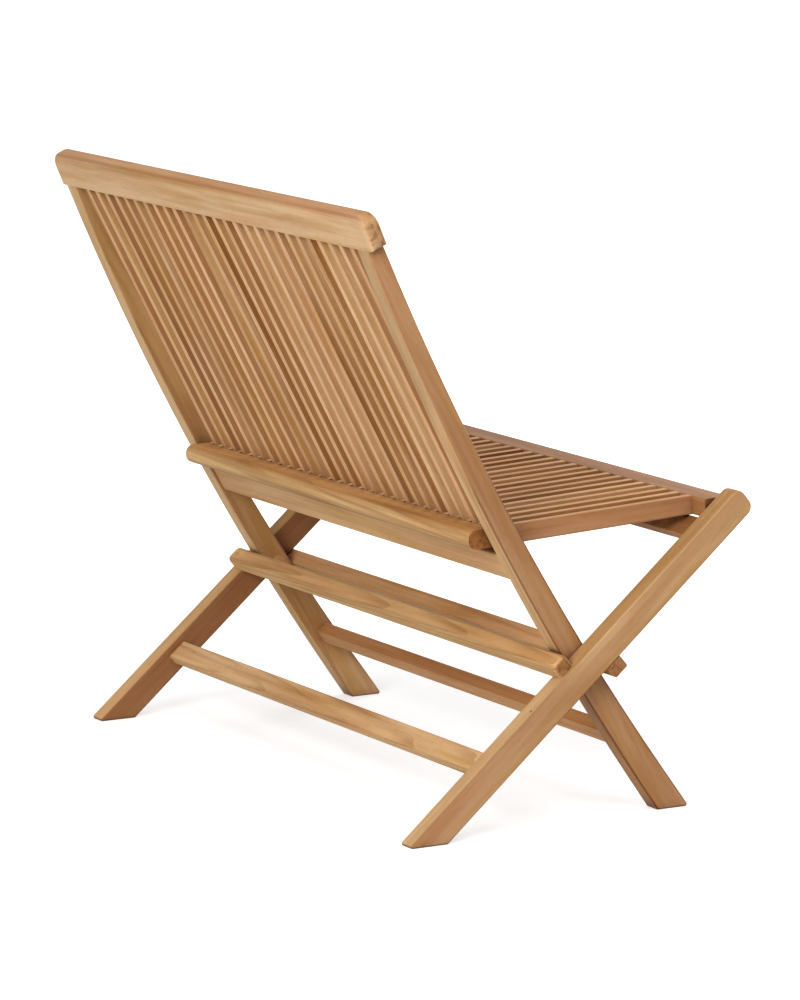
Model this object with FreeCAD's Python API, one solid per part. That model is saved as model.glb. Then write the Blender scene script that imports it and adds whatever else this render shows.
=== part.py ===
import FreeCAD, Part
import math
import os

from FreeCAD import Placement, Rotation, Vector

# Folding garden bench in solid teak, millimetres, +Z up, front towards -Y.
# The origin is on the ground under the middle of the bench.

# Stock and overall width
STOCK = 28.0                  # thickness of the stiles and legs, across the bench
STILE_OUTER = 425.0           # middle of the bench to a stile's outer face
LEG_GAP = 2.0                 # between a stile and the leg beside it
EDGE_ROUND = 3.0              # rounding on the long edges of the frame and round its soles
SLAT_ROUND = 1.2              # rounding on the long edges of slats
TENON_LENGTH = 14.0           # how far a rail's tongue enters its post
TENON_SHOULDER = 4.0          # step all round a rail's tongue
RAIL_ROUND = 2.5              # rounding on the long edges of rails

# Rear legs, straight, crossing the stiles
HEEL_Y = 230.217              # back edge of a rear foot
LEG_LEAN = 49.4               # degrees from upright, leaning forwards
LEG_DEPTH = 38.7
LEG_LENGTH = 657.0            # from the heel to the rounded top
LEG_TOP_ROUND = 13.0
LEG_BELOW_GROUND = 12.0       # extra length that the level sole cuts away

# Stiles, each a front leg and back post in one gentle curve
FOOT_SPREAD = 396.7           # from a rear heel forwards to a front heel
STILE_LEAN = 36.1             # degrees from upright at the ground, leaning backwards
STILE_RADIUS = 4000.0
STILE_DEPTH_FOOT = 39.5
STILE_DEPTH_TOP = 24.4
STILE_LENGTH = 886.0
STILE_STRAIGHT = 50.0         # straight stretch at the foot, before the curve
STILE_BELOW_GROUND = 60.0     # extra length that the level sole cuts away

# Back
TOP_RAIL_OVERHANG = 15.0      # past a stile's outer face
TOP_RAIL_HEIGHT = 47.0
TOP_RAIL_DEPTH = 25.0
TOP_RAIL_BULLNOSE = 8.0       # along the top and down both ends
TOP_RAIL_CORNER = 20.0
TOP_RAIL_FOOT_CORNER = 5.0    # of the ends, below
STILE_TENON = 12.0
STILE_TENON_LENGTH = 24.0
LOWER_RAIL_STATION = 405.0    # along the stile from the ground
LOWER_RAIL_BELOW = 22.0
LOWER_RAIL_ABOVE = 18.5
LOWER_RAIL_INSET = 4.0        # behind face set in from the stiles
LOWER_RAIL_DEPTH = 27.5
STRETCHER_STATION = 108.0
STRETCHER_HEIGHT = 23.0
STRETCHER_DEPTH = 20.0
STRETCHER_INSET = 11.0

# Slats of back and seat, which pass between each other
SLAT_WIDTH = 11.5
SLAT_SIDE_GAP = 2.3           # between an outer back slat and the side of the seat
BACK_SLATS = 27
BACK_SLAT_DEPTH = 13.0
BACK_SLAT_FOOT_INSET = 14.4   # from the stiles' back edge, on the lower rail
BACK_SLAT_TOP_INSET = 4.6     # from the stiles' back edge, under the top rail
BACK_SLAT_HOUSING = 12.0      # let into the rails at both ends
SEAT_SLAT_HEIGHT = 20.0
SEAT_TONGUE = 10.0
SEAT_TONGUE_HEIGHT = 11.0

# Seat, hung on the legs at its front rail
SEAT_PIVOT_FROM_TOP = 29.2    # along the leg
SEAT_PIVOT_IN = 14.2          # down from the leg's upper face
SEAT_REST_GAP = 0.4           # between the seat and the lower back rail that it lies on
SEAT_SIDE_GAP = 4.0           # between the seat and a stile
SEAT_HEIGHT = 25.5            # thickness of the seat frame
FRONT_RAIL_DEPTH = 40.0
FRONT_RAIL_GAP = 2.5          # between the front rail and a leg
FRONT_RAIL_ROUND = 6.0
REAR_RAIL_GAP = 2.0           # behind the back slats
REAR_RAIL_DEPTH = 35.0
REAR_RAIL_BULLNOSE = 12.0
SIDE_RAIL_WIDTH = 12.5

# Rails between the rear legs
LEG_RAIL_WIDTH = 32.0
LEG_RAIL_DEPTH = 15.0
LEG_RAIL_INSET = 11.0
REAR_STRETCHER_ALONG = 140.5
BEARER_BELOW_PIVOT = 25.0     # along the leg from the seat's pivot
STOP_CLEARANCE = 0.4          # between a stop and the stiles that meet it
REAR_STOP_WIDTH = 26.0
REAR_STOP_DEPTH = 20.0
REAR_STOP_SHORT = 6.0         # its ends, in from the legs' outer faces
REAR_STOP_ROUND = 6.0
REAR_STOP_END_ROUND = 8.0
FRONT_STOP_WIDTH = 23.0
FRONT_STOP_DEPTH = 18.0

# Pivot where legs and stiles cross
PIVOT_DIAMETER = 10.0
PIVOT_RUNNING = 0.05          # radial clearance of a turning fit
HEAD_DIAMETER = 17.0
HEAD_LENGTH = 4.0
HEAD_CLEARANCE = 0.3
COUNTERBORE = 20.0
PLUG_LENGTH = 3.0
PLUG_GAP = 1.0
INSERT_DIAMETER = 16.0
INSERT_LENGTH = 19.0
WASHER_DIAMETER = 24.0
WASHER_CLEARANCE = 0.2
WASHER_BORE_CLEARANCE = 0.2

# Seat pivot pins
PIN_DIAMETER = 10.0
PIN_IN_RAIL = 30.0
PIN_IN_LEG = 18.0
PIN_END_CLEARANCE = 2.0
SEAT_WASHER_DIAMETER = 20.0

# Screws that hold the stops, under wooden plugs
SCREW_DIAMETER = 5.0
SCREW_HEAD = 9.0
SCREW_HEAD_LENGTH = 3.0
SCREW_PLUG = 10.0
SCREW_PLUG_LENGTH = 4.0
SCREW_IN_LEG = 22.0
REAR_SCREW_IN = 6.5           # from a leg's inner face

STILE_INNER = STILE_OUTER - STOCK
STILE_FOOT_Y = HEEL_Y - FOOT_SPREAD
LEG_INNER = STILE_OUTER + LEG_GAP
LEG_OUTER = LEG_INNER + STOCK
TOP_RAIL_HALF = STILE_OUTER + TOP_RAIL_OVERHANG
REAR_STOP_HALF = LEG_OUTER - REAR_STOP_SHORT
FRONT_RAIL_HALF = LEG_INNER - FRONT_RAIL_GAP
SEAT_HALF = STILE_INNER - SEAT_SIDE_GAP
OUTER_SLAT = SEAT_HALF - SIDE_RAIL_WIDTH - SLAT_SIDE_GAP - SLAT_WIDTH / 2
SLAT_PITCH = 2 * OUTER_SLAT / (BACK_SLATS - 1)
SEAT_SLATS = BACK_SLATS - 1
GROUND_REACH = 1000.0         # half the width of the ground that levels the feet
ALONG = Vector(0, 1, 0)
ACROSS = Vector(1, 0, 0)
DEEP = Vector(0, 0, 1)
TOUCHING = 1e-6               # lengths that differ by less are the same
NEAR = 1e-3                   # the same, for the boxes round edges


class Frame:
    """A straight member's axes: across the bench, along the member, and into its depth."""

    def __init__(self, y, z, angle):
        self.placement = Placement(Vector(0, y, z), Rotation(ACROSS, angle))

    def point(self, x, along, depth):
        return self.placement.multVec(Vector(x, along, depth))

    def local(self, point):
        return self.placement.inverse().multVec(point)

    def put(self, shape):
        shape.Placement = self.placement
        return shape


def box(x, along, depth):
    """A block between two limits on each of a member's axes."""
    size = [high - low for low, high in (x, along, depth)]
    return Part.makeBox(*size, Vector(x[0], along[0], depth[0]))


def runs(edge, direction):
    start, end = edge.Vertexes[0].Point, edge.Vertexes[-1].Point
    return (end - start).cross(direction).Length < TOUCHING


def rounded(shape, direction, radius, keep=lambda middle: True):
    """Rounds the straight edges that run one way, where keep says so."""
    edges = [e for e in shape.Edges if runs(e, direction) and keep(e.CenterOfMass)]
    return shape.makeFillet(radius, edges)


def rod(start, direction, length, diameter):
    return Part.makeCylinder(diameter / 2, length, start, direction)


def on_side(edge, faces):
    """Whether an edge lies in one of the upright faces at these places across the bench."""
    limits = edge.BoundBox
    return any(abs(limits.XMin - x) < NEAR and abs(limits.XMax - x) < NEAR for x in faces)


def on_ground(edge):
    return edge.BoundBox.ZMax < NEAR


def both_sides(shape):
    """A piece and its mirror image, left one first."""
    return shape, shape.mirror(Vector(0, 0, 0), ACROSS)


def between(half, tongue, along, depth, radius):
    """A rail between two posts, with a tongue at each end."""
    body = rounded(box((-half, half), along, depth), ACROSS, radius)
    inner = [(low + TENON_SHOULDER, high - TENON_SHOULDER) for low, high in (along, depth)]
    tenon = box((-half - tongue, half + tongue), *inner)
    return body.fuse(tenon).removeSplitter()


def stile_angle(station):
    return math.radians(STILE_LEAN) - station / STILE_RADIUS


def stile_back(station):
    """The stile's back edge at a station along it from the ground, as (y, z)."""
    angle, foot = stile_angle(station), math.radians(STILE_LEAN)
    y = STILE_FOOT_Y + STILE_RADIUS * (math.cos(angle) - math.cos(foot))
    return y, STILE_RADIUS * (math.sin(foot) - math.sin(angle))


def stile_frame(station):
    return Frame(*stile_back(station), 90.0 - math.degrees(stile_angle(station)))


def stile_depth(station):
    return STILE_DEPTH_FOOT + (STILE_DEPTH_TOP - STILE_DEPTH_FOOT) * station / STILE_LENGTH


def stile_edge(share):
    """A line up the stile at a share of its depth: straight from below the ground, then an arc."""
    stations = (STILE_STRAIGHT, (STILE_STRAIGHT + STILE_LENGTH) / 2, STILE_LENGTH)
    points = [stile_frame(s).point(STILE_INNER, 0, share * stile_depth(s)) for s in stations]
    arc = Part.Arc(*points)
    up = arc.tangent(arc.FirstParameter)[0]
    start = points[0] - up * (STILE_STRAIGHT + STILE_BELOW_GROUND)
    return Part.makeLine(start, points[0]), arc.toShape()


LEG = Frame(HEEL_Y, 0, 90.0 + LEG_LEAN)
LOWER = stile_frame(LOWER_RAIL_STATION)
TOP = stile_frame(STILE_LENGTH)


def crossing(depth, share):
    """How far up the leg a line at some depth in it meets the stile at a share of its depth."""
    foot = math.radians(STILE_LEAN)
    middle = Vector(0, STILE_FOOT_Y - STILE_RADIUS * math.cos(foot), STILE_RADIUS * math.sin(foot))
    low, high = 0.0, LEG_LENGTH
    while high - low > TOUCHING:
        half_way = (low + high) / 2
        spoke = LEG.point(0, half_way, depth) - middle
        station = STILE_RADIUS * (foot - math.atan2(-spoke.z, spoke.y))
        if STILE_RADIUS - spoke.Length < share * stile_depth(station):
            low = half_way
        else:
            high = half_way
    return low


def seat_fall():
    """Degrees that the seat falls to the back when it lies on the lower back rail."""
    front = LOWER_RAIL_INSET + LOWER_RAIL_DEPTH
    corner = LOWER.point(0, LOWER_RAIL_ABOVE - RAIL_ROUND, front - RAIL_ROUND) - SEAT_PIVOT
    clear = SEAT_HEIGHT / 2 + SEAT_REST_GAP + RAIL_ROUND
    return math.degrees(math.atan2(-corner.z, corner.y) - math.asin(clear / corner.Length))


def line_of(start, end):
    """Axes of a straight member between two points, and its length."""
    run = end - start
    return Frame(start.y, start.z, math.degrees(math.atan2(run.z, run.y))), run.Length


PIVOT = LEG.point(0, crossing(LEG_DEPTH / 2, 0.5), LEG_DEPTH / 2)
REAR_STOP_END = min(crossing(0, 0), crossing(-REAR_STOP_DEPTH, 0)) - STOP_CLEARANCE
FRONT_STOP_START = max(crossing(LEG_DEPTH, 1), crossing(LEG_DEPTH + FRONT_STOP_DEPTH, 1)) + STOP_CLEARANCE
SEAT_PIVOT_ALONG = LEG_LENGTH - SEAT_PIVOT_FROM_TOP
BEARER_ALONG = SEAT_PIVOT_ALONG - BEARER_BELOW_PIVOT - LEG_RAIL_WIDTH
SEAT_PIVOT = LEG.point(0, SEAT_PIVOT_ALONG, SEAT_PIVOT_IN)
SEAT = Frame(SEAT_PIVOT.y, SEAT_PIVOT.z, 180.0 - seat_fall())
SLATS, BACK_SLAT_RUN = line_of(LOWER.point(0, LOWER_RAIL_ABOVE, BACK_SLAT_FOOT_INSET),
                               TOP.point(0, 0, BACK_SLAT_TOP_INSET))
GROUND = Part.makeBox(2 * GROUND_REACH, 2 * GROUND_REACH, GROUND_REACH,
                      Vector(-GROUND_REACH, -GROUND_REACH, -GROUND_REACH))
SEAT_TOP, SEAT_UNDER = -SEAT_HEIGHT / 2, SEAT_HEIGHT / 2
FRONT_RAIL_BACK = -FRONT_RAIL_DEPTH / 2


def behind_slats():
    """How far behind the seat's pivot its top passes the back slats."""
    foot, head = SEAT.local(SLATS.point(0, 0, 0)), SEAT.local(SLATS.point(0, BACK_SLAT_RUN, 0))
    share = (SEAT_TOP - foot.z) / (head.z - foot.z)
    return -(foot + (head - foot) * share).y


REAR_RAIL_FROM_PIVOT = behind_slats() + REAR_RAIL_GAP
SLAT_OFFSETS = [(i - (BACK_SLATS - 1) / 2) * SLAT_PITCH for i in range(BACK_SLATS)]
SEAT_OFFSETS = [(i - (SEAT_SLATS - 1) / 2) * SLAT_PITCH for i in range(SEAT_SLATS)]


def across(origin, start, length, diameter):
    """A rod across the bench, at x = start beside a pivot."""
    return rod(origin + Vector(start, 0, 0), ACROSS, length, diameter)


def make_stile():
    back, front = stile_edge(0.0), stile_edge(1.0)
    top = Part.makeLine(back[1].Vertexes[-1].Point, front[1].Vertexes[-1].Point)
    foot = Part.makeLine(front[0].Vertexes[0].Point, back[0].Vertexes[0].Point)
    outline = Part.Wire(Part.sortEdges([*back, top, *front, foot])[0])
    post = Part.Face(outline).extrude(Vector(STOCK, 0, 0)).cut(GROUND)
    sides = [e for e in post.Edges if on_side(e, (STILE_INNER, STILE_OUTER))]
    top_ends = [e for e in sides if abs(e.Length - top.Length) < NEAR and not on_ground(e)]
    soles = [e for e in post.Edges if on_ground(e)]
    long_edges = [e for e in sides if not any(e.isSame(other) for other in soles + top_ends)]
    post = post.makeFillet(EDGE_ROUND, long_edges + soles)
    middle_x, middle_depth = STILE_INNER + STOCK / 2, STILE_DEPTH_TOP / 2
    half = STILE_TENON / 2
    tenon = TOP.put(box((middle_x - half, middle_x + half), (0, STILE_TENON_LENGTH),
                        (middle_depth - half, middle_depth + half)))
    post = post.fuse(tenon)
    bore = across(PIVOT, STILE_INNER, STOCK, PIVOT_DIAMETER + 2 * PIVOT_RUNNING)
    head_room = PLUG_LENGTH + PLUG_GAP + HEAD_LENGTH + HEAD_CLEARANCE
    counterbore = across(PIVOT, STILE_INNER, head_room, COUNTERBORE)
    return post.cut(bore).cut(counterbore)


def make_top_rail():
    """A rail capping the stiles, flush with their backs, rounded along its top and down its ends."""
    block = box((-TOP_RAIL_HALF, TOP_RAIL_HALF), (0, TOP_RAIL_HEIGHT), (0, TOP_RAIL_DEPTH))
    top_half = TOP_RAIL_HEIGHT / 2
    bar = rounded(block, DEEP, TOP_RAIL_CORNER, lambda m: m.y > top_half)
    rim = [e for e in bar.Edges if e.BoundBox.ZLength < NEAR and e.CenterOfMass.y > NEAR]
    bar = bar.makeFillet(TOP_RAIL_BULLNOSE, rim)
    return TOP.put(bar.common(rounded(block, DEEP, TOP_RAIL_FOOT_CORNER, lambda m: m.y < top_half)))


def make_lower_rail():
    depth = (LOWER_RAIL_INSET, LOWER_RAIL_INSET + LOWER_RAIL_DEPTH)
    rail = between(STILE_INNER, TENON_LENGTH, (-LOWER_RAIL_BELOW, LOWER_RAIL_ABOVE), depth, RAIL_ROUND)
    return LOWER.put(rail)


def make_front_stretcher():
    depth = (STRETCHER_INSET, STRETCHER_INSET + STRETCHER_DEPTH)
    half_height = STRETCHER_HEIGHT / 2
    rail = between(STILE_INNER, TENON_LENGTH, (-half_height, half_height), depth, RAIL_ROUND)
    return stile_frame(STRETCHER_STATION).put(rail)


def make_back_slat(x):
    half = SLAT_WIDTH / 2
    length = (-BACK_SLAT_HOUSING, BACK_SLAT_RUN + BACK_SLAT_HOUSING)
    slat = box((x - half, x + half), length, (0, BACK_SLAT_DEPTH))
    return SLATS.put(rounded(slat, ALONG, SLAT_ROUND))


def make_leg():
    bar = box((LEG_INNER, LEG_OUTER), (-LEG_BELOW_GROUND, LEG_LENGTH), (0, LEG_DEPTH))
    bar = LEG.put(rounded(bar, ACROSS, LEG_TOP_ROUND, lambda m: m.y > 0)).cut(GROUND)
    edges = [e for e in bar.Edges if on_side(e, (LEG_INNER, LEG_OUTER)) or on_ground(e)]
    leg = bar.makeFillet(EDGE_ROUND, edges)
    leg = leg.cut(across(PIVOT, LEG_INNER, INSERT_LENGTH, INSERT_DIAMETER))
    pin_hole = PIN_DIAMETER + 2 * PIVOT_RUNNING
    return leg.cut(across(SEAT_PIVOT, LEG_INNER, PIN_IN_LEG + PIN_END_CLEARANCE, pin_hole))


def make_leg_rail(start):
    depth = (LEG_RAIL_INSET, LEG_RAIL_INSET + LEG_RAIL_DEPTH)
    return LEG.put(between(LEG_INNER, TENON_LENGTH, (start, start + LEG_RAIL_WIDTH), depth, RAIL_ROUND))


def make_rear_stop():
    half = (-REAR_STOP_HALF, REAR_STOP_HALF)
    bar = box(half, (REAR_STOP_END - REAR_STOP_WIDTH, REAR_STOP_END), (-REAR_STOP_DEPTH, 0))
    bar = rounded(bar, DEEP, REAR_STOP_END_ROUND)
    upper = [e for e in bar.Edges if abs(e.CenterOfMass.z + REAR_STOP_DEPTH) < TOUCHING]
    return LEG.put(bar.makeFillet(REAR_STOP_ROUND, upper))


def make_front_stop():
    depth = (LEG_DEPTH, LEG_DEPTH + FRONT_STOP_DEPTH)
    bar = box((-LEG_OUTER, LEG_OUTER), (FRONT_STOP_START, FRONT_STOP_START + FRONT_STOP_WIDTH), depth)
    return LEG.put(rounded(bar, ACROSS, RAIL_ROUND, lambda m: m.z > LEG_DEPTH + TOUCHING))


def stop_screw(x, along, face, stop_depth):
    """One screw through a stop into a leg, and the plug that hides its head."""
    start = LEG.point(x, along, face)
    way = (LEG.point(x, along, face + stop_depth) - start).normalize()
    plug = rod(start, way, SCREW_PLUG_LENGTH, SCREW_PLUG)
    head_start = start + way * SCREW_PLUG_LENGTH
    head = rod(head_start, way, SCREW_HEAD_LENGTH, SCREW_HEAD)
    reach = abs(stop_depth) - SCREW_PLUG_LENGTH - SCREW_HEAD_LENGTH + SCREW_IN_LEG
    shank = rod(head_start + way * SCREW_HEAD_LENGTH, way, reach, SCREW_DIAMETER)
    return head.fuse(shank), plug


def make_front_rail():
    bar = box((-FRONT_RAIL_HALF, FRONT_RAIL_HALF), (FRONT_RAIL_BACK, FRONT_RAIL_DEPTH / 2),
              (SEAT_TOP, SEAT_UNDER))
    bar = rounded(bar, ACROSS, RAIL_ROUND, lambda m: m.y < 0)
    return SEAT.put(rounded(bar, ACROSS, FRONT_RAIL_ROUND, lambda m: m.y > -FRONT_RAIL_BACK - TOUCHING))


def make_rear_rail():
    back = -REAR_RAIL_FROM_PIVOT - REAR_RAIL_DEPTH
    bar = box((-SEAT_HALF, SEAT_HALF), (back, -REAR_RAIL_FROM_PIVOT), (SEAT_TOP, SEAT_UNDER))
    bar = rounded(bar, ACROSS, REAR_RAIL_BULLNOSE, lambda m: m.y < back + TOUCHING)
    return SEAT.put(rounded(bar, ACROSS, RAIL_ROUND, lambda m: m.y > -REAR_RAIL_FROM_PIVOT - TOUCHING))


def seat_bar(x, height, radius):
    """A bar of the seat from front rail to rear rail, with a tongue at each end."""
    run = (-REAR_RAIL_FROM_PIVOT, FRONT_RAIL_BACK)
    body = rounded(box(x, run, (SEAT_TOP, SEAT_TOP + height)), ALONG, radius)
    half = SEAT_TONGUE_HEIGHT / 2
    long_run = (run[0] - SEAT_TONGUE, run[1] + SEAT_TONGUE)
    tongue_x = (x[0] + SLAT_ROUND, x[1] - SLAT_ROUND)
    tongue = box(tongue_x, long_run, (-half, half))
    return SEAT.put(body.fuse(tongue).removeSplitter())


def washer(origin, start, thickness, diameter, bore):
    ring = across(origin, start, thickness, diameter)
    return ring.cut(across(origin, start, thickness, bore))


def build():
    parts = {}
    stile, leg = make_stile(), make_leg()
    lower_rail, front_stretcher = make_lower_rail(), make_front_stretcher()
    rear_stretcher, bearer = make_leg_rail(REAR_STRETCHER_ALONG), make_leg_rail(BEARER_ALONG)
    back_slats = [make_back_slat(x) for x in SLAT_OFFSETS]
    all_back_slats = Part.makeCompound(back_slats)
    stile = stile.cut(lower_rail).cut(front_stretcher)
    leg = leg.cut(rear_stretcher).cut(bearer)

    parts["stile_left"], parts["stile_right"] = both_sides(stile)
    tenons = Part.makeCompound([parts["stile_left"], parts["stile_right"]])
    parts["top_rail"] = make_top_rail().cut(tenons).cut(all_back_slats)
    parts["lower_back_rail"] = lower_rail.cut(all_back_slats)
    parts["front_stretcher"] = front_stretcher
    for number, slat in enumerate(back_slats, 1):
        parts["back_slat_%02d" % number] = slat

    bolt_start = STILE_INNER + PLUG_LENGTH + PLUG_GAP
    shank_start = bolt_start + HEAD_LENGTH
    shank_end = LEG_INNER + INSERT_LENGTH
    bolt = across(PIVOT, bolt_start, HEAD_LENGTH, HEAD_DIAMETER)
    bolt = bolt.fuse(across(PIVOT, shank_start, shank_end - shank_start, PIVOT_DIAMETER))
    plug = across(PIVOT, STILE_INNER, PLUG_LENGTH, COUNTERBORE)
    insert = washer(PIVOT, LEG_INNER, INSERT_LENGTH, INSERT_DIAMETER, PIVOT_DIAMETER)
    spacer = washer(PIVOT, STILE_OUTER + WASHER_CLEARANCE, LEG_GAP - 2 * WASHER_CLEARANCE,
                    WASHER_DIAMETER, PIVOT_DIAMETER + 2 * WASHER_BORE_CLEARANCE)
    parts["pivot_plugs"] = Part.makeCompound(both_sides(plug))
    parts["pivot_bolt_left"], parts["pivot_bolt_right"] = both_sides(bolt)
    parts["pivot_inserts"] = Part.makeCompound(both_sides(insert))
    parts["pivot_washers"] = Part.makeCompound(both_sides(spacer))

    rear_screw, rear_plug = stop_screw(LEG_INNER + REAR_SCREW_IN, REAR_STOP_END - REAR_STOP_WIDTH / 2,
                                       -REAR_STOP_DEPTH, REAR_STOP_DEPTH)
    front_screw, front_plug = stop_screw(LEG_INNER + STOCK / 2, FRONT_STOP_START + FRONT_STOP_WIDTH / 2,
                                         LEG_DEPTH + FRONT_STOP_DEPTH, -FRONT_STOP_DEPTH)
    leg = leg.cut(rear_screw).cut(front_screw)
    parts["leg_left"], parts["leg_right"] = both_sides(leg)
    parts["rear_stretcher"] = rear_stretcher
    parts["seat_bearer"] = bearer
    for name, stop, pieces in (("rear_stop", make_rear_stop(), (rear_screw, rear_plug)),
                               ("front_stop", make_front_stop(), (front_screw, front_plug))):
        screws, plugs = [Part.makeCompound(both_sides(piece)) for piece in pieces]
        parts[name] = stop.cut(screws).cut(plugs)
        parts[name + "_screws"] = screws
        parts[name + "_plugs"] = plugs

    half = SLAT_WIDTH / 2
    seat_slats = [seat_bar((x - half, x + half), SEAT_SLAT_HEIGHT, SLAT_ROUND) for x in SEAT_OFFSETS]
    side = seat_bar((SEAT_HALF - SIDE_RAIL_WIDTH, SEAT_HALF), SEAT_HEIGHT, RAIL_ROUND)
    sides = both_sides(side)
    tongues = Part.makeCompound(seat_slats + list(sides))
    pin = across(SEAT_PIVOT, FRONT_RAIL_HALF - PIN_IN_RAIL,
                 PIN_IN_RAIL + LEG_INNER - FRONT_RAIL_HALF + PIN_IN_LEG, PIN_DIAMETER)
    pins = both_sides(pin)
    seat_gap = LEG_INNER - FRONT_RAIL_HALF
    seat_washer = washer(SEAT_PIVOT, FRONT_RAIL_HALF + WASHER_CLEARANCE,
                         seat_gap - 2 * WASHER_CLEARANCE, SEAT_WASHER_DIAMETER, PIN_DIAMETER)
    parts["seat_front_rail"] = make_front_rail().cut(tongues).cut(Part.makeCompound(pins))
    parts["seat_rear_rail"] = make_rear_rail().cut(tongues)
    parts["seat_side_left"], parts["seat_side_right"] = sides
    parts["seat_slats"] = Part.makeCompound(seat_slats)
    parts["seat_pin_left"], parts["seat_pin_right"] = pins
    parts["seat_washers"] = Part.makeCompound(both_sides(seat_washer))
    return parts


os.makedirs("parts", exist_ok=True)
for node, shape in build().items():
    shape.exportStep("parts/%s.step" % node)
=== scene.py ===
import math
import random
from typing import NamedTuple

import bpy
from mathutils import Matrix, Vector


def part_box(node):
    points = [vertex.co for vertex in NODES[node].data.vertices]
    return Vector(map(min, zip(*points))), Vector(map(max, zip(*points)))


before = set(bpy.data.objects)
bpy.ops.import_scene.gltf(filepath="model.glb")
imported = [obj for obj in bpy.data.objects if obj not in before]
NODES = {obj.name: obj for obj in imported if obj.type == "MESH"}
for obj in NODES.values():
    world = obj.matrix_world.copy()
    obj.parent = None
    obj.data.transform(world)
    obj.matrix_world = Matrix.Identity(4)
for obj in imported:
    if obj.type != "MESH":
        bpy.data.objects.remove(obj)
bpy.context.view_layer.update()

MM = 0.001

# Camera, as the photograph was taken: from behind, on the sitter's right
IMAGE_LONG_SIDE = 1000          # pixels
FOCAL_LENGTH = 5307.4           # pixels
SENSOR = 36.0                   # millimetres, along the image's long side
CAMERA_AZIMUTH = 240.229        # degrees
CAMERA_ELEVATION = 9.907        # degrees
CAMERA_PLACE = Vector((-6.1687, 3.5107, 1.6040))

# How the pieces lean, in degrees back from upright
LEG_LEAN = -49.4
STILE_LEAN = 29.8               # at half height
TOP_LEAN = 23.4                 # at the top rail
SLAT_LEAN = 27.9
SEAT_FALL = 2.9                 # degrees down towards the back
RIGHT_ANGLE = 90.0


def leaning(degrees):
    """A direction in the bench's side view, so many degrees back from upright."""
    return Vector((0, math.sin(math.radians(degrees)), math.cos(math.radians(degrees))))


# Directions along and across the pieces
ACROSS = Vector((1, 0, 0))
LEG = leaning(LEG_LEAN)
LEG_TOP_SIDE = leaning(LEG_LEAN + RIGHT_ANGLE)
STILE = leaning(STILE_LEAN)
STILE_BACK_SIDE = leaning(STILE_LEAN + RIGHT_ANGLE)
TOP = leaning(TOP_LEAN)
SLAT = leaning(SLAT_LEAN)
SEAT = leaning(RIGHT_ANGLE + SEAT_FALL)
SEAT_UNDER_SIDE = leaning(2 * RIGHT_ANGLE + SEAT_FALL)


class Figure(NamedTuple):
    """A pattern in the wood, drawn out along the grain, in metres."""
    length: float
    width: float
    detail: float = 2.0         # how many finer layers the pattern has


class Darkening(NamedTuple):
    """A colour that darkens the wood where a pattern passes from one value to another: the wood's own tones
    and stains, and painted shade.
    """
    colour: str                 # multiplies what is under it
    start: float                # the pattern's value where the darkening starts
    full: float                 # and where it has its full strength
    strength: float = 1.0


# Growth rings, heartwood, fibres and pores of plantation teak
RING_SPACING = 7.0 * MM
RING_WANDER = 14 * MM           # how far a ring strays along a piece
RINGED_PATCH = (0.3, 0.6)       # values of a patch between which the rings come out
WAVE_SPACING = 2 * math.pi / 20             # the ring pattern's own spacing at scale 1
WANDER = Figure(380 * MM, 45 * MM)
PATCH = Figure(260 * MM, 26 * MM)           # soft changes of colour from one part of a board to another
STREAK = Figure(600 * MM, 11 * MM, 1.5)
FIBRE = Figure(110 * MM, 2.2 * MM)          # wider than real fibres, so that they show a metre or two away
PORE = Figure(14 * MM, 0.9 * MM, 0.0)       # wider than real pores, for the same reason
END_SPOT = Figure(7 * MM, 7 * MM)
PORE_DEPTH = 0.2 * MM
PORE_RELIEF = 0.35              # how strongly the pores catch the light
KNOT_SPACING = 90 * MM
KNOT_RADIUS = 2.6 * MM
KNOT_HEART = 1.04 * MM          # the dark middle of a knot
CORNER_REACH = 30 * MM          # how far the painted shade reaches out from an inner corner
CORNER_SAMPLES = 6
TURN_LENGTH = 60 * MM           # over which a piece changes its colour with height
FLANK_TURN = (0.5, 0.8)         # how squarely a surface faces sideways as a face turns into a flank
EDGE_STREAKS = 0.5              # how much the heartwood breaks up the worn edges
FIBRE_SPREAD = (0.3, 0.7)       # values that most of the fibres have
TEAK_ROUGHNESS = (0.58, 0.72)
TEAK_IOR = 1.46
TEAK_SPECULAR = 0.3

# Each slat comes from another board
LOG_LENGTH = 9.0                # metres of the tree that the boards come from
SLAT_SHIFT = (5.0, 0.08, 0.08)  # metres of the tree from one slat to another, at most
SLAT_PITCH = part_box("back_slat_02")[0].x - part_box("back_slat_01")[0].x
SLAT_ON_MIDDLE = 0.5            # pitches by which the count shifts, with a slat on the bench's middle
GAP_ON_MIDDLE = 0.0             # and with a gap there
SLAT_FACE_SHARE = 0.4           # how much of a slat's dark and brown tone its faces take, while its flanks take it all: painted shade in the gaps
FLANK_DRAW = 0.5                # what a flank adds to its slat's number, to draw another tone

# What darkens the palest wood of a piece
LATE_WOOD = "#e6d8c8"
HEARTWOOD = "#c9b199"
PINK_CAST = "#fff0e4"
KHAKI_CAST = "#f4ecd0"
DARK_BROWN = "#8f6c50"
DARK_PATCHES = Darkening(LATE_WOOD, 0.36, 0.66, 0.7)
PINK_PATCHES = Darkening(PINK_CAST, 0.48, 0.68, 0.5)
KHAKI_PATCHES = Darkening(KHAKI_CAST, 0.52, 0.32)
RINGS = Darkening(HEARTWOOD, 0.5, 1.0)
STREAKS = Darkening(HEARTWOOD, 0.5, 0.74)
FIBRES = Darkening(LATE_WOOD, 0.42, 0.75, 0.14)
PORES = Darkening(HEARTWOOD, 0.56, 0.72, 0.2)
KNOTS = Darkening(DARK_BROWN, KNOT_RADIUS / KNOT_SPACING, KNOT_HEART / KNOT_SPACING)
DARK_SLATS = Darkening(LATE_WOOD, 0.1, 0.9)
PINK_SLATS = Darkening(PINK_CAST, 0.6, 1.0, 0.6)
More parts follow.
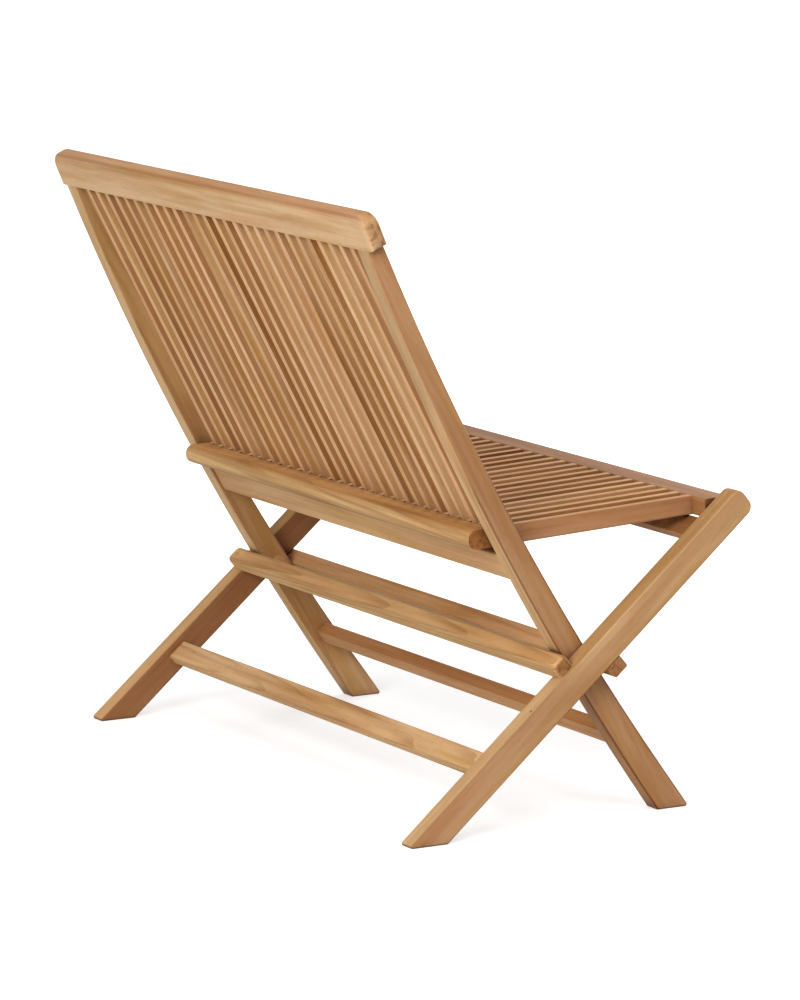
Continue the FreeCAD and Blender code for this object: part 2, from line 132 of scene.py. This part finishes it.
KHAKI_SLATS = Darkening(KHAKI_CAST, 0.6, 0.0)
BROWN_SLATS = Darkening(HEARTWOOD, 0.6, 1.0, 0.6)
END_GRAIN = Darkening(HEARTWOOD, 0.6, 0.95)
END_SPOTS = Darkening(DARK_BROWN, 0.5, 0.65, 0.5)
WORN_EDGES = Darkening(DARK_BROWN, 0.35, 0.62)
# painted shade: darkens the wood in inner corners, by ambient occlusion
CORNER_SHADE = Darkening(DARK_BROWN, 0.7, 0.15)

# Turned steel
STEEL = "#c9c5be"
STEEL_ROUGHNESS = (0.28, 0.42)
TOOL_MARK = 0.4 * MM            # coarser than real tool marks, so that they show
TOOL_MARK_DEPTH = 0.02 * MM
TOOL_MARK_RELIEF = 0.2

# Node settings that are used again and again
UNDER, OVER, MIXED = 6, 7, 2    # the sockets of a colour mix
SOFT = {"interpolation_type": "SMOOTHSTEP"}


class Wood(NamedTuple):
    """How a piece was sawn from the log, and the palest colours of its faces and flanks, which hold painted
    light and shade as well as the wood's tone.
    """
    grain: Vector                   # along the piece
    width: Vector                   # across its faces, square to its flanks
    face: str
    flank: str
    pith: tuple                     # millimetres from the middle of the tree, along width and thickness
    tilt: float = 1.0               # degrees between the tree's axis and the piece
    rings: float = 0.35             # how strongly growth rings show
    streaks: float = 0.35           # how strongly brown heartwood shows
    burnish: float = 0.25           # how dark the worn edges are
    corner_shade: float = 0.8               # how dark the painted shade in the inner corners is
    ends: float = 0.85              # how dark the end grain is
    dark_edges: float = 1000.0      # millimetres above the ground, where the worn edges end
    above: tuple = ()               # millimetres above the ground, with the face and flank from there up

    def board(self):
        """Turns directions of the bench into those of the piece: along, across and through it."""
        return Matrix((self.grain, self.width, self.grain.cross(self.width)))


def linear(colour):
    """An sRGB hex colour as linear red, green, blue and alpha."""
    parts = [int(colour[i:i + 2], 16) / 255 for i in (1, 3, 5)]
    return [c / 12.92 if c <= 0.04045 else ((c + 0.055) / 1.055) ** 2.4 for c in parts] + [1.0]


def add(nodes, kind, inputs=None, **settings):
    """Adds a node with its settings, and gives each socket a value or a link."""
    node = nodes.new("ShaderNode" + kind)
    for name, value in settings.items():
        setattr(node, name, value)
    for socket, value in (inputs or {}).items():
        if isinstance(value, bpy.types.NodeSocket):
            nodes.id_data.links.new(value, node.inputs[socket])
        else:
            node.inputs[socket].default_value = value
    return node


def empty_material(name):
    """A new material, and its nodes, of which there are none yet."""
    material = bpy.data.materials.new(name)
    material.use_nodes = True
    material.node_tree.nodes.clear()
    return material, material.node_tree.nodes


def dress(material, pieces):
    """Puts a material on CAD pieces."""
    for name in pieces:
        piece = NODES[name]
        piece.data.materials.clear()
        piece.data.materials.append(material)


def middle(piece):
    """The middle of a CAD piece's box."""
    low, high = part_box(piece)
    return (Vector(low) + Vector(high)) / 2


def place_on_bench(nodes):
    """Where a point of the bench is at rest: across, back and up, in metres."""
    return add(nodes, "SeparateXYZ", {0: add(nodes, "TexCoord").outputs["Object"]}).outputs


def place_in_log(nodes, wood, piece, seed):
    """Where a point of a piece was in the tree: along it, and across it in two directions."""
    sawn = Matrix.Rotation(math.radians(wood.tilt), 3, "Y") @ wood.board()
    along = random.Random(seed).uniform(0, LOG_LENGTH)
    start = Vector((along, wood.pith[0] * MM, wood.pith[1] * MM)) - sawn @ middle(piece)
    return add(nodes, "Mapping", {"Vector": add(nodes, "TexCoord").outputs["Object"],
                                  "Rotation": sawn.to_euler(), "Location": start}).outputs[0]


def facing(nodes, wood):
    """How squarely a surface faces along the grain, across the width and through the thickness."""
    turned = add(nodes, "Mapping", {"Vector": add(nodes, "TexCoord").outputs["Normal"],
                                    "Rotation": wood.board().to_euler()}, vector_type="VECTOR")
    either_way = add(nodes, "VectorMath", {0: turned.outputs[0]}, operation="ABSOLUTE")
    return add(nodes, "SeparateXYZ", {0: either_way.outputs[0]}).outputs


def figured(nodes, log, figure):
    """A figure of the wood, at a place in the log."""
    scale = (1 / figure.length, 1 / figure.width, 1 / figure.width)
    scaled = add(nodes, "VectorMath", {0: log, 1: scale}, operation="MULTIPLY").outputs[0]
    return add(nodes, "TexNoise", {"Vector": scaled, "Scale": 1.0, "Detail": figure.detail}).outputs


def darkened(nodes, colour, overlay, pattern, strength=None):
    """A colour with a darkening over it. A strength that is given takes the place of the darkening's own."""
    share = add(nodes, "MapRange", {"Value": pattern, "From Min": overlay.start, "From Max": overlay.full,
                                    "To Max": overlay.strength if strength is None else strength}, **SOFT)
    return add(nodes, "Mix", {"Factor": share.outputs[0], UNDER: colour, OVER: linear(overlay.colour)},
               data_type="RGBA", blend_type="MULTIPLY").outputs[MIXED]


def wood_tone_and_painted_light(nodes, wood, side, height):
    """The palest colours of a piece: flanks differ from faces, and both may change with height. These
    differences hold the wood's own tone and also painted light and shade, for how light falls on each side
    and height.
    """
    face, flank = linear(wood.face), linear(wood.flank)
    for start, higher_face, higher_flank in wood.above:
        share = add(nodes, "MapRange", {"Value": height, "From Min": start * MM,
                                        "From Max": start * MM + TURN_LENGTH}, **SOFT).outputs[0]
        face = add(nodes, "Mix", {"Factor": share, UNDER: face, OVER: linear(higher_face)},
                   data_type="RGBA").outputs[MIXED]
        flank = add(nodes, "Mix", {"Factor": share, UNDER: flank, OVER: linear(higher_flank)},
                    data_type="RGBA").outputs[MIXED]
    turned = add(nodes, "MapRange", {"Value": side, "From Min": FLANK_TURN[0],
                                     "From Max": FLANK_TURN[1]}, **SOFT).outputs[0]
    return add(nodes, "Mix", {"Factor": turned, UNDER: face, OVER: flank}, data_type="RGBA").outputs[MIXED]


def slat_number(nodes, phase):
    """Counts the slats from one side of the bench to the other."""
    across = place_on_bench(nodes)["X"]
    pitches = add(nodes, "Math", {0: across, 1: 1 / SLAT_PITCH, 2: phase}, operation="MULTIPLY_ADD")
    return add(nodes, "Math", {0: pitches.outputs[0]}, operation="FLOOR").outputs[0]


def slat_tones_with_flank_shade(nodes, number, side):
    """The tone that each slat has to itself, with one draw for its faces and one for its flanks. The flanks
    take the dark and brown tones in full and the faces only in part: painted shade in the gaps between
    slats.
    """
    flank = add(nodes, "Math", {0: side, 1: FLANK_TURN[0]}, operation="GREATER_THAN").outputs[0]
    turn = add(nodes, "Math", {0: flank, 1: FLANK_DRAW, 2: number}, operation="MULTIPLY_ADD").outputs[0]
    draw = add(nodes, "TexWhiteNoise", {"W": turn}, noise_dimensions="1D").outputs["Color"]
    tone = add(nodes, "SeparateColor", {0: draw}).outputs
    flank_shade = add(nodes, "Math", {0: side, 1: 1 - SLAT_FACE_SHARE, 2: SLAT_FACE_SHARE},
                operation="MULTIPLY_ADD").outputs[0]
    brown = add(nodes, "Math", {0: flank_shade, 1: BROWN_SLATS.strength}, operation="MULTIPLY").outputs[0]
    return [
        (DARK_SLATS, tone["Red"], flank_shade),
        (PINK_SLATS, tone["Green"]),
        (KHAKI_SLATS, tone["Green"], side),
        (BROWN_SLATS, tone["Blue"], brown),
    ]


def teak(name, wood, piece, seed, slat_phase=None):
    """Solid teak, planed and sanded. Soft patches and rings run along each piece and arch where its
    face cuts them, brown heartwood streaks follow them, and short open pores catch the light. Inner corners,
    and the slats' flanks, take painted shade."""
    material, nodes = empty_material(name)
    log = place_in_log(nodes, wood, piece, seed)
    height = place_on_bench(nodes)["Z"]
    end, side, front = facing(nodes, wood)
    slat_layers = []
    if slat_phase is not None:
        number = slat_number(nodes, slat_phase)
        draw = add(nodes, "TexWhiteNoise", {"W": number}, noise_dimensions="1D").outputs["Color"]
        log = add(nodes, "VectorMath", {0: draw, 1: SLAT_SHIFT, 2: log}, operation="MULTIPLY_ADD").outputs[0]
        slat_layers = slat_tones_with_flank_shade(nodes, number, side)

    # Patterns in the wood
    wander = figured(nodes, log, WANDER)["Color"]
    strayed = add(nodes, "VectorMath", {0: wander, 1: (0, RING_WANDER, RING_WANDER), 2: log},
                  operation="MULTIPLY_ADD").outputs[0]
    ring = add(nodes, "TexWave", {"Vector": strayed, "Scale": WAVE_SPACING / RING_SPACING},
               wave_type="RINGS", rings_direction="X", wave_profile="SAW").outputs["Fac"]
    patch = add(nodes, "SeparateColor", {0: figured(nodes, log, PATCH)["Color"]}).outputs
    streak = figured(nodes, log, STREAK)["Fac"]
    fibre = figured(nodes, log, FIBRE)["Fac"]
    pore = figured(nodes, log, PORE)["Fac"]
    spot = figured(nodes, log, END_SPOT)["Fac"]
    knot = add(nodes, "TexVoronoi", {"Vector": log, "Scale": 1 / KNOT_SPACING}).outputs["Distance"]

    # Patterns of use: worn edges. Painted shade in the inner corners, from ambient occlusion
    edge = add(nodes, "Math", {0: side, 1: front}, operation="MULTIPLY").outputs[0]
    edge = add(nodes, "Math", {0: streak, 1: EDGE_STREAKS, 2: edge}, operation="MULTIPLY_ADD").outputs[0]
    occlusion = add(nodes, "AmbientOcclusion", {"Distance": CORNER_REACH}, samples=CORNER_SAMPLES).outputs["AO"]

    # Strengths that change over a piece
    ringed = add(nodes, "MapRange", {"Value": patch["Blue"], "From Min": RINGED_PATCH[0],
                                     "From Max": RINGED_PATCH[1], "To Max": wood.rings}, **SOFT).outputs[0]
    spotted = add(nodes, "MapRange", {"Value": end, "From Min": END_GRAIN.start, "From Max": END_GRAIN.full,
                                      "To Max": END_SPOTS.strength}, **SOFT).outputs[0]
    worn_top = wood.dark_edges * MM
    worn = add(nodes, "MapRange", {"Value": height, "From Min": worn_top + TURN_LENGTH,
                                   "From Max": worn_top, "To Max": wood.burnish}, **SOFT).outputs[0]

    colour = wood_tone_and_painted_light(nodes, wood, side, height)
    overlays = [
        (DARK_PATCHES, patch["Red"]),
        (PINK_PATCHES, patch["Green"]),
        (KHAKI_PATCHES, patch["Green"]),
        (RINGS, ring, ringed),
        (STREAKS, streak, wood.streaks),
        (FIBRES, fibre),
        (PORES, pore),
        (KNOTS, knot),
        *slat_layers,
        (END_GRAIN, end, wood.ends),
        (END_SPOTS, spot, spotted),
        (WORN_EDGES, edge, worn),
        # painted shade in the inner corners
        (CORNER_SHADE, occlusion, wood.corner_shade),
    ]
    for overlay in overlays:
        colour = darkened(nodes, colour, *overlay)

    hollow = add(nodes, "MapRange", {"Value": pore, "From Min": PORES.start, "From Max": PORES.full},
                 **SOFT).outputs[0]
    relief = add(nodes, "Math", {0: hollow, 1: fibre}, operation="ADD").outputs[0]
    bump = add(nodes, "Bump", {"Height": relief, "Strength": PORE_RELIEF, "Distance": PORE_DEPTH},
               invert=True).outputs[0]
    roughness = add(nodes, "MapRange", {"Value": fibre, "From Min": FIBRE_SPREAD[0],
                                        "From Max": FIBRE_SPREAD[1], "To Min": TEAK_ROUGHNESS[0],
                                        "To Max": TEAK_ROUGHNESS[1]}).outputs[0]
    shader = add(nodes, "BsdfPrincipled", {"Base Color": colour, "Roughness": roughness, "IOR": TEAK_IOR,
                                           "Specular IOR Level": TEAK_SPECULAR, "Normal": bump})
    add(nodes, "OutputMaterial", {"Surface": shader.outputs[0]})
    return material


def stainless_steel():
    """Stainless steel, turned: a bright metal, dulled a little by fine tool marks."""
    material, nodes = empty_material("stainless_steel_turned")
    place = add(nodes, "TexCoord").outputs["Object"]
    marks = add(nodes, "TexNoise", {"Vector": place, "Scale": 1 / TOOL_MARK}).outputs["Fac"]
    roughness = add(nodes, "MapRange", {"Value": marks, "To Min": STEEL_ROUGHNESS[0],
                                        "To Max": STEEL_ROUGHNESS[1]}).outputs[0]
    bump = add(nodes, "Bump", {"Height": marks, "Strength": TOOL_MARK_RELIEF,
                               "Distance": TOOL_MARK_DEPTH}).outputs[0]
    shader = add(nodes, "BsdfPrincipled", {"Base Color": linear(STEEL), "Metallic": 1.0,
                                           "Roughness": roughness, "Normal": bump})
    add(nodes, "OutputMaterial", {"Surface": shader.outputs[0]})
    return material


# Rails, stiles and legs, each from a board of its own
TEAK_PIECES = {
    # painted shade: the top rail's flank, its upper side, is darker than its face for how light falls on it
    "top_rail": Wood(
        ACROSS, TOP, "#cdab83", "#b48a62", (8, -90), tilt=1.5, rings=0.12, streaks=0.35, ends=0.55),
    "lower_back_rail": Wood(
        ACROSS, STILE, "#cda677", "#cfab7d", (70, 30), tilt=0.6, rings=0.2, streaks=0.3),
    "front_stretcher": Wood(
        ACROSS, STILE, "#c39463", "#b07d4b", (30, 40), tilt=1.0, rings=0.2, streaks=0.4),
    "rear_stretcher": Wood(
        ACROSS, LEG, "#cba679", "#d0ab78", (4, 46), tilt=2.2, rings=0.6, streaks=0.4),
    # painted shade: the seat bearer's face and flank are darkened for the shade under the seat
    "seat_bearer": Wood(
        ACROSS, LEG, "#865b34", "#a87c50", (40, 20), tilt=1.0, rings=0.3, streaks=0.4),
    "rear_stop": Wood(
        ACROSS, LEG, "#c9a16e", "#d2ae78", (-6, 40), tilt=1.8, rings=0.55, streaks=0.5),
    "front_stop": Wood(
        ACROSS, LEG, "#bc9266", "#be9a6c", (40, 30), tilt=1.5, rings=0.3, streaks=0.5),
    "seat_front_rail": Wood(
        ACROSS, SEAT, "#9b6e44", "#a17044", (60, 30), tilt=0.8, rings=0.2, streaks=0.3),
    # partly painted shade: the seat's rear rail has its end grain at its darkest, for the stile's shade on
    # its end
    "seat_rear_rail": Wood(
        ACROSS, SEAT, "#c09158", "#c9a571", (0, 50), tilt=2.5, rings=0.4, streaks=0.5, ends=1.0),
    # partly painted light and shade: the left stile's face steps between paler and darker tones with height,
    # with a pale band at the foot
    "stile_left": Wood(
        STILE, STILE_BACK_SIDE, "#c08f62", "#ceab7c", (20, 80), tilt=1.2, rings=0.25, streaks=0.4,
        above=((-45, "#d4aa7e", "#ceab7c"), (35, "#b5885a", "#ceab7c"),
               (190, "#ac8354", "#cba97c"), (430, "#b78f5d", "#cba97c"))),
    "stile_right": Wood(
        STILE, STILE_BACK_SIDE, "#b58962", "#a87c52", (10, -90), tilt=1.0, rings=0.1, streaks=0.25,
        burnish=0.7, dark_edges=430,
        above=((180, "#aa7f58", "#c8a376"), (520, "#ad825b", "#b7966d"))),
    # partly painted shade: the left leg's inner face is darkened for the shade under the seat
    "leg_left": Wood(
        LEG, LEG_TOP_SIDE, "#966841", "#c39c6c", (40, 60), tilt=1.0, rings=0.15, streaks=0.35),
    # painted shade: above 170 mm the right leg's flank, its upper side, turns darker for how light falls on
    # it
    "leg_right": Wood(
        LEG, LEG_TOP_SIDE, "#b98f67", "#bf9c70", (20, 90), tilt=1.2, rings=0.1, streaks=0.3,
        burnish=0.45, dark_edges=170,
        above=((170, "#c29b71", "#a78052"),)),
    "seat_side_left": Wood(
        SEAT, SEAT_UNDER_SIDE, "#bb8b60", "#c49868", (30, 50), tilt=1.0, rings=0.2, streaks=0.3),
    "seat_side_right": Wood(
        SEAT, SEAT_UNDER_SIDE, "#ae7e58", "#c49868", (20, -70), tilt=1.0, rings=0.15, streaks=0.3),
}
for seed, (name, wood) in enumerate(TEAK_PIECES.items()):
    dress(teak("teak_planed_" + name, wood, name, seed), [name])

# Slats, and the plugs over the fasteners: their wood, where the count of slats starts, the pieces
PLUG = "#c39765"
BACK_SLATS = [name for name in NODES if name.startswith("back_slat")]
TEAK_GROUPS = {
    # painted shade: the slats' flanks are darker than their faces, for the shade in the gaps between them
    "teak_planed_back_slats": (
        Wood(SLAT, ACROSS, "#ddb78d", "#cda77c", (40, 60), corner_shade=0.25), SLAT_ON_MIDDLE, BACK_SLATS),
    "teak_planed_seat_slats": (
        Wood(SEAT, ACROSS, "#d0a67a", "#b78b60", (30, 50), corner_shade=0.3), GAP_ON_MIDDLE, ["seat_slats"]),
    "teak_plug_sanded_stop": (
        Wood(ACROSS, LEG, PLUG, PLUG, (60, 40), corner_shade=0.0), None, ["rear_stop_plugs", "front_stop_plugs"]),
    "teak_plug_sanded_pivot": (
        Wood(STILE, STILE_BACK_SIDE, PLUG, PLUG, (60, 40), corner_shade=0.0), None, ["pivot_plugs"]),
}
FIRST_GROUP_SEED = 40
for seed, (name, (wood, slat_phase, pieces)) in enumerate(TEAK_GROUPS.items(), FIRST_GROUP_SEED):
    dress(teak(name, wood, pieces[0], seed, slat_phase), pieces)

# Fasteners
STEEL_PIECES = [
    "rear_stop_screws", "front_stop_screws", "pivot_bolt_left", "pivot_bolt_right", "pivot_inserts",
    "pivot_washers", "seat_pin_left", "seat_pin_right", "seat_washers",
]
dress(stainless_steel(), STEEL_PIECES)

# Floor and studio
FLOOR_REACH = 40.0              # metres
FLOOR_COLOUR = "#d2d2d2"
FLOOR_GLOW = (0.55, 1.0)        # under the bench, and far away
GLOW_REACH = (0.5, 3.0)         # metres from the middle of the bench
SOFTBOXES = {                   # place, size in metres, watts
    "key": ((-2.8, 4.6, 2.6), 3.2, 265),
    "fill": ((-4.2, 0.6, 4.0), 3.0, 110),
    "top": ((0.3, 0.4, 4.6), 3.0, 26),
    "front": ((3.0, -4.4, 2.4), 3.0, 130),
}
AIM = Vector((0, 0, 0.42))      # where the softboxes point
WORLD_WHITE = "#ffffff"
WORLD_LIGHT = 0.28


def seen(nodes):
    """1 for rays that show the studio to the eye: straight, by reflection or through something."""
    rays = add(nodes, "LightPath").outputs
    shown = rays["Is Camera Ray"]
    for kind in ("Is Glossy Ray", "Is Transmission Ray"):
        shown = add(nodes, "Math", {0: shown, 1: rays[kind]}, operation="MAXIMUM").outputs[0]
    return shown


def make_floor():
    """Matt white paper, which shows white to the eye and still takes the bench's shadow."""
    bpy.ops.mesh.primitive_plane_add(size=2 * FLOOR_REACH)
    floor = bpy.context.object
    floor.name = "studio_floor"
    material, nodes = empty_material("studio_paper_matt")
    matt = add(nodes, "BsdfDiffuse", {"Color": linear(FLOOR_COLOUR)})
    away = add(nodes, "VectorMath", {0: add(nodes, "TexCoord").outputs["Object"]}, operation="LENGTH")
    glow = add(nodes, "MapRange", {"Value": away.outputs["Value"], "From Min": GLOW_REACH[0],
                                   "From Max": GLOW_REACH[1], "To Min": FLOOR_GLOW[0],
                                   "To Max": FLOOR_GLOW[1]})
    glow = add(nodes, "Math", {0: seen(nodes), 1: glow.outputs[0]}, operation="MULTIPLY")
    light = add(nodes, "Emission", {"Strength": glow.outputs[0]})
    paper = add(nodes, "AddShader", {0: matt.outputs[0], 1: light.outputs[0]})
    add(nodes, "OutputMaterial", {"Surface": paper.outputs[0]})
    floor.data.materials.append(material)


def make_lights():
    """Softboxes, and a white studio round the bench that shows brighter than it lights."""
    for name, (place, size, watts) in SOFTBOXES.items():
        lamp = bpy.data.lights.new(name, "AREA")
        lamp.shape = "DISK"
        lamp.size = size
        lamp.energy = watts
        box = bpy.data.objects.new(name, lamp)
        box.location = place
        box.rotation_euler = (AIM - Vector(place)).to_track_quat("-Z", "Y").to_euler()
        bpy.context.scene.collection.objects.link(box)
    world = bpy.data.worlds.new("studio")
    world.use_nodes = True
    nodes = world.node_tree.nodes
    nodes.clear()
    level = add(nodes, "MapRange", {"Value": seen(nodes), "To Min": WORLD_LIGHT})
    sky = add(nodes, "Background", {"Color": linear(WORLD_WHITE), "Strength": level.outputs[0]})
    add(nodes, "OutputWorld", {"Surface": sky.outputs[0]})
    bpy.context.scene.world = world


def make_camera():
    """The photograph's camera."""
    data = bpy.data.cameras.new("camera")
    data.sensor_width = SENSOR
    data.lens = FOCAL_LENGTH * SENSOR / IMAGE_LONG_SIDE
    camera = bpy.data.objects.new("camera", data)
    camera.location = CAMERA_PLACE
    tip = math.radians(RIGHT_ANGLE - CAMERA_ELEVATION)
    camera.rotation_euler = (tip, 0, math.radians(CAMERA_AZIMUTH))
    bpy.context.scene.collection.objects.link(camera)
    bpy.context.scene.camera = camera


make_floor()
make_lights()
make_camera()
bpy.context.scene.view_settings.view_transform = "Standard"
